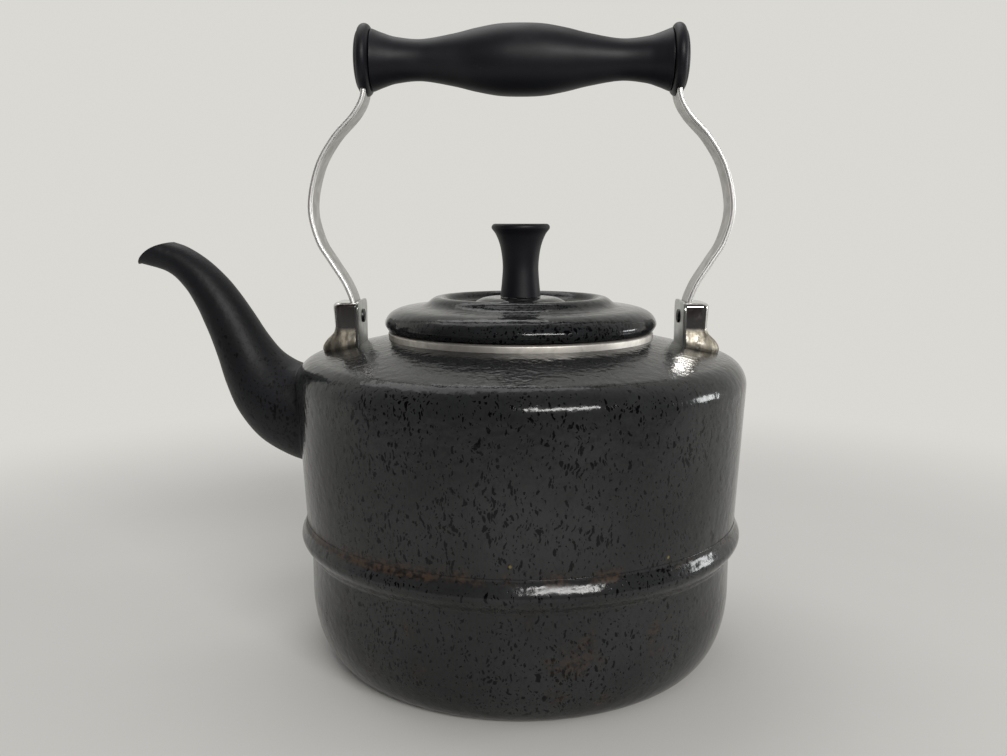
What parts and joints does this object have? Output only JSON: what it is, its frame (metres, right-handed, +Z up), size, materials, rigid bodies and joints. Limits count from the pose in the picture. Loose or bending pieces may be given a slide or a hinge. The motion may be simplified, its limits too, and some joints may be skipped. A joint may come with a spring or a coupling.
{
  "type": "tea kettle",
  "caption": "Round enamelled steel kettle with a beaded waist, a curved spout, a lift-off lid with a flared knob, and a fixed arched handle with a turned grip.",
  "frame": {"origin": "centre of the flat underside, where the kettle rests", "axes": "+Z up through the knob, -X towards the spout, Y across the handle"},
  "size_m": [0.2702, 0.1988, 0.2766],
  "materials": {
    "enamel": "glossy dark grey speckled enamel on steel sheet",
    "black_plastic": "satin black",
    "polished_steel": "polished, with worn patches",
    "plain_steel": "plain",
    "brass": "turned"
  },
  "bodies": {
    "kettle": {"base_pan": "enamel", "upper_shell": "enamel", "spout": "enamel", "mouth_ring": "polished_steel", "grip": "black_plastic", "tie_rod": "plain_steel", "front_end_cap": "black_plastic", "rear_end_cap": "black_plastic", "front_cap_screw": "plain_steel", "rear_cap_screw": "plain_steel", "front_strap": "polished_steel", "rear_strap": "polished_steel", "front_socket": "polished_steel", "rear_socket": "polished_steel", "front_socket_plate": "polished_steel", "rear_socket_plate": "polished_steel", "front_clamp_screw": "polished_steel", "rear_clamp_screw": "polished_steel", "front_rivet_near": "plain_steel", "front_rivet_far": "plain_steel", "rear_rivet_near": "plain_steel", "rear_rivet_far": "plain_steel"},
    "lid": {"lid_cover": "enamel", "lid_sleeve": "enamel", "knob": "black_plastic", "knob_insert": "brass", "knob_washer": "plain_steel", "knob_screw": "plain_steel"}
  },
  "joints": [
    {"name": "lid_lift", "type": "slide", "parent": "kettle", "child": "lid", "axis": [0, 0, 1], "range_m": [0, 0.05]}
  ]
}
